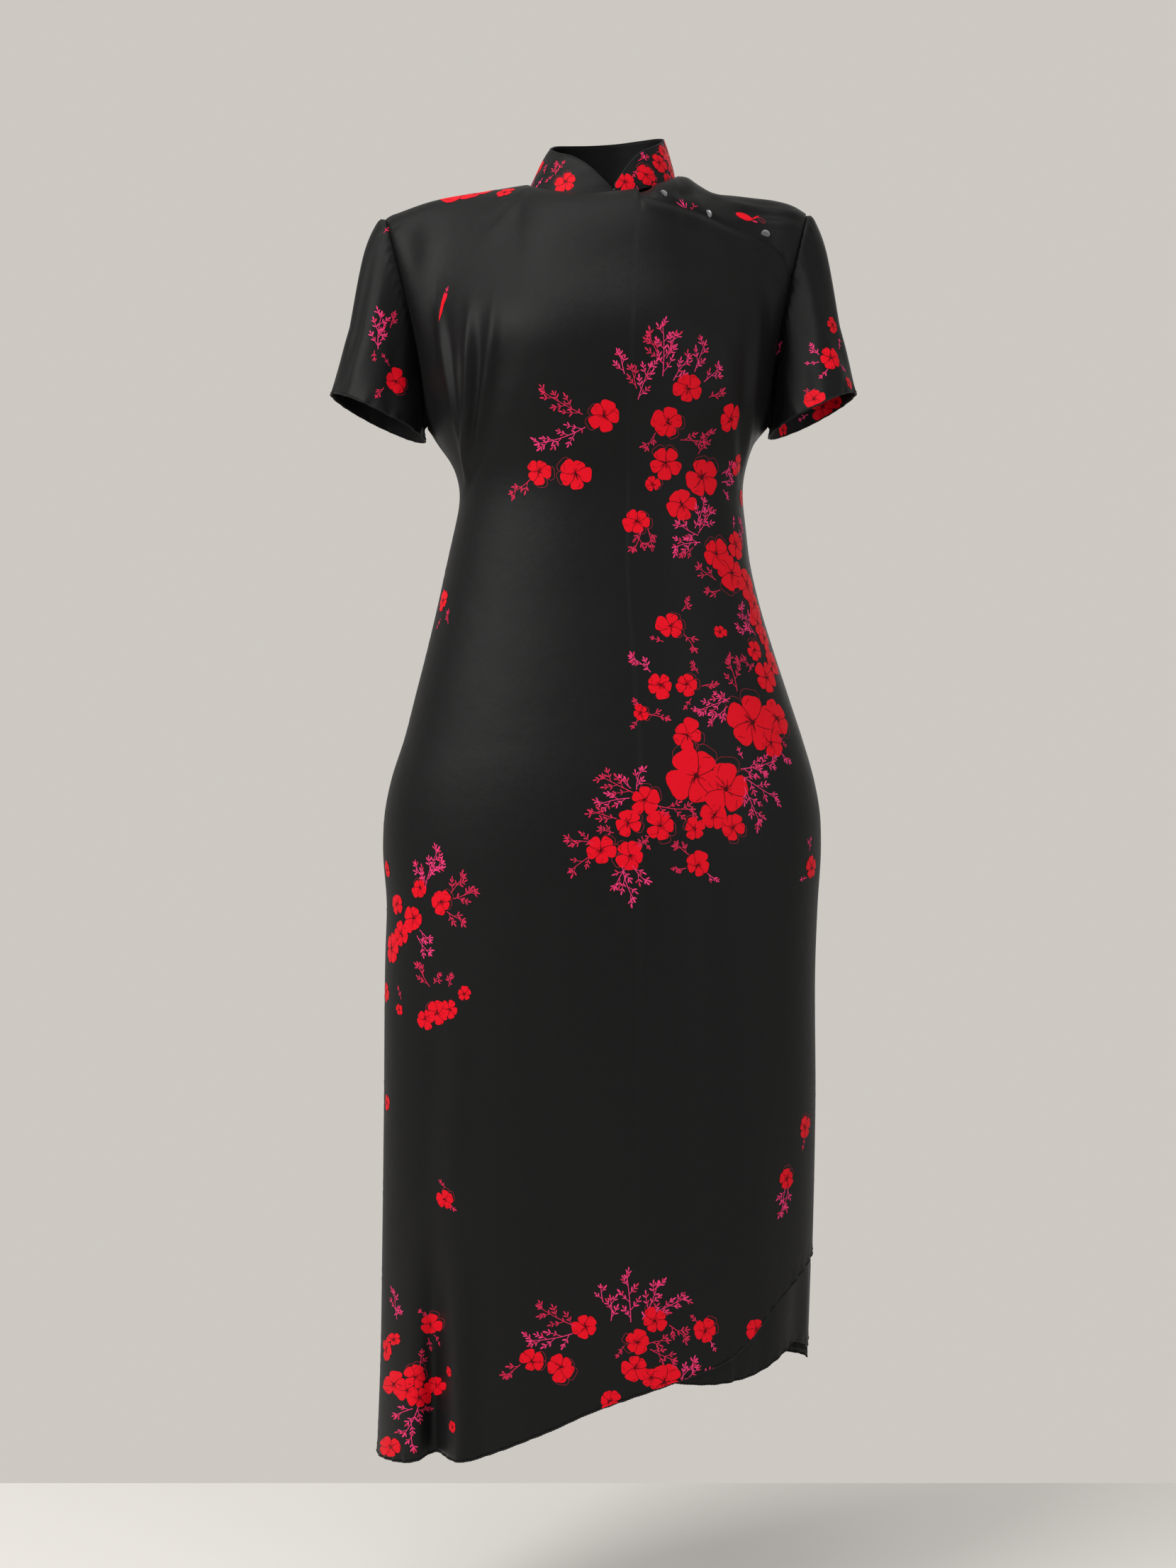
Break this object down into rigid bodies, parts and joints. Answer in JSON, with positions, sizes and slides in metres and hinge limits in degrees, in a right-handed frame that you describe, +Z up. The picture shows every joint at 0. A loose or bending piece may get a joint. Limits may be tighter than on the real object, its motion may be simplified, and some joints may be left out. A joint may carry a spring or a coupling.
{
  "type": "cheongsam dress",
  "caption": "Short-sleeved long cheongsam dress with stand collar, slanted shoulder opening, fitted waist and slanted curved wrap hem, in black satin with a red blossom print.",
  "frame": {"origin": "middle of the shoulder line at the neck, where the wearer's shoulders hold the dress up", "axes": "+Z up; the front faces -Y; +X towards the side with the slanted shoulder opening (right as seen from the front)"},
  "size_m": [0.533, 0.2826, 1.3355],
  "materials": {
    "black_satin": "soft satin with a red and pink blossom print",
    "printed_satin": "soft satin with a dense red blossom print",
    "clear_glass": "clear faceted crystal"
  },
  "bodies": {
    "root": {"front_panel": "black_satin", "back_panel": "black_satin", "shoulder_piece": "black_satin", "under_panel": "black_satin", "sleeve_left": "black_satin", "sleeve_right": "black_satin", "collar": "printed_satin", "button_1": "clear_glass", "button_2": "clear_glass", "button_3": "clear_glass"}
  },
  "joints": []
}
